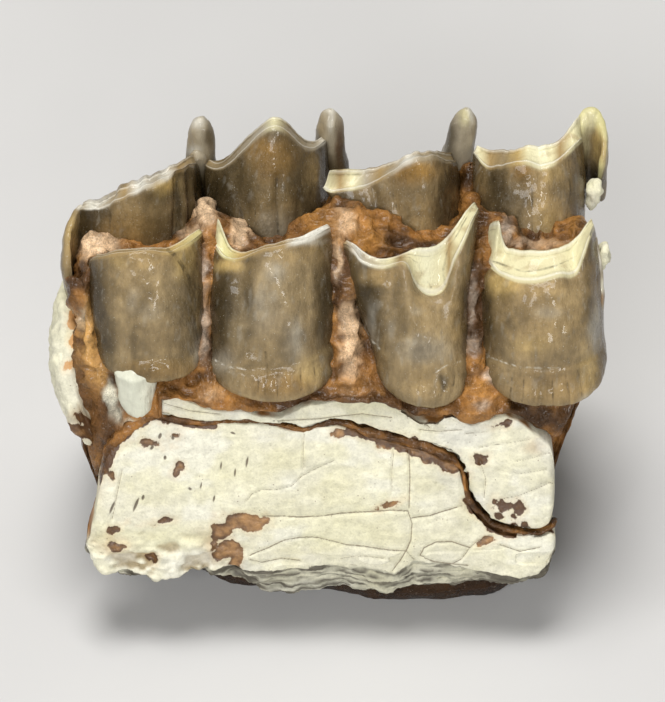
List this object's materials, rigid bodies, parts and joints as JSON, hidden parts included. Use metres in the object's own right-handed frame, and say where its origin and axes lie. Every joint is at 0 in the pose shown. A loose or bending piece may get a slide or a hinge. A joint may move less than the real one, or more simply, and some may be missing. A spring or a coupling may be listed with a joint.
{
  "type": "fossil oreodont jaw",
  "caption": "Piece of a fossil upper jaw: worn crescent-cusped molars set in cream palate bone and brown sediment, standing on a small flat spot.",
  "frame": {"origin": "on the flat spot that the piece stands on, under the middle of the tooth row", "axes": "+X along the tooth row towards the front of the jaw, +Y outwards to the cheek, +Z towards the chewing surface"},
  "size_m": [0.0362, 0.0231, 0.0303],
  "materials": {
    "enamel": "glossy olive-brown enamel with worn cream dentine",
    "bone": "cream mineralised bone with fine cracks and brown stains",
    "sediment": "hard orange-brown sediment with a varnished sheen"
  },
  "bodies": {
    "root": {"rear_molar": "enamel", "front_molar": "enamel", "palate_plate": "bone", "alveolar_rim": "bone", "cheek_bone": "bone", "edge_flake_upper": "bone", "edge_flake_lower": "bone", "matrix": "sediment"}
  },
  "joints": []
}
